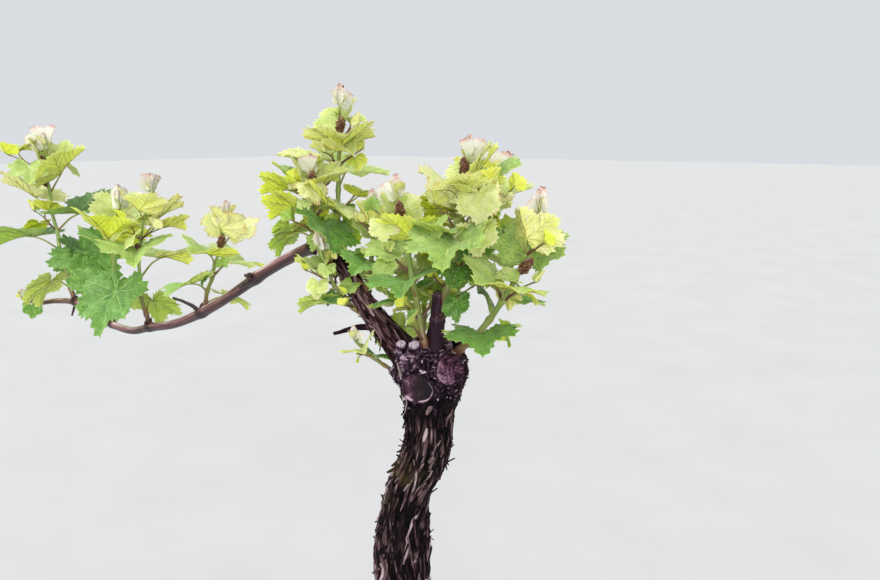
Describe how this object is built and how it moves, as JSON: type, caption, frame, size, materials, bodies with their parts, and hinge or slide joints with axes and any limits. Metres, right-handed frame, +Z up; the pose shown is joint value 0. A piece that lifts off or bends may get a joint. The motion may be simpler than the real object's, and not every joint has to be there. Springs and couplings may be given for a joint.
{
  "type": "grapevine",
  "caption": "Trained grapevine in spring: gnarled trunk with a burred head, one old arm, a long cane bent over and led low, and young leafy shoots with flower buds.",
  "frame": {"origin": "centre of the flat cut under the trunk, at ground level", "axes": "+Z up; the row runs along X, and the cane reaches towards -X; the head's pruning cuts face -Y"},
  "size_m": [0.9889, 0.225, 1.042],
  "materials": {
    "old_bark": "shaggy dark bark",
    "cane_bark": "smooth red-brown cane bark",
    "green_growth": "matt young leaf"
  },
  "bodies": {
    "root": {"trunk": "old_bark", "arm": "old_bark", "spur_front": "old_bark", "spur_back": "old_bark", "cane_arch": "cane_bark", "cane_end": "cane_bark", "shoot_cane_tip": "green_growth", "shoot_cane_4": "green_growth", "shoot_cane_3": "green_growth", "shoot_cane_2": "green_growth", "shoot_cane_1": "green_growth", "shoot_bend_1": "green_growth", "shoot_bend_2": "green_growth", "shoot_arm_1": "green_growth", "shoot_arm_2": "green_growth", "shoot_head_1": "green_growth", "shoot_head_2": "green_growth", "shoot_head_3": "green_growth", "shoot_head_4": "green_growth", "shoot_back_1": "green_growth", "shoot_back_2": "green_growth"}
  },
  "joints": []
}
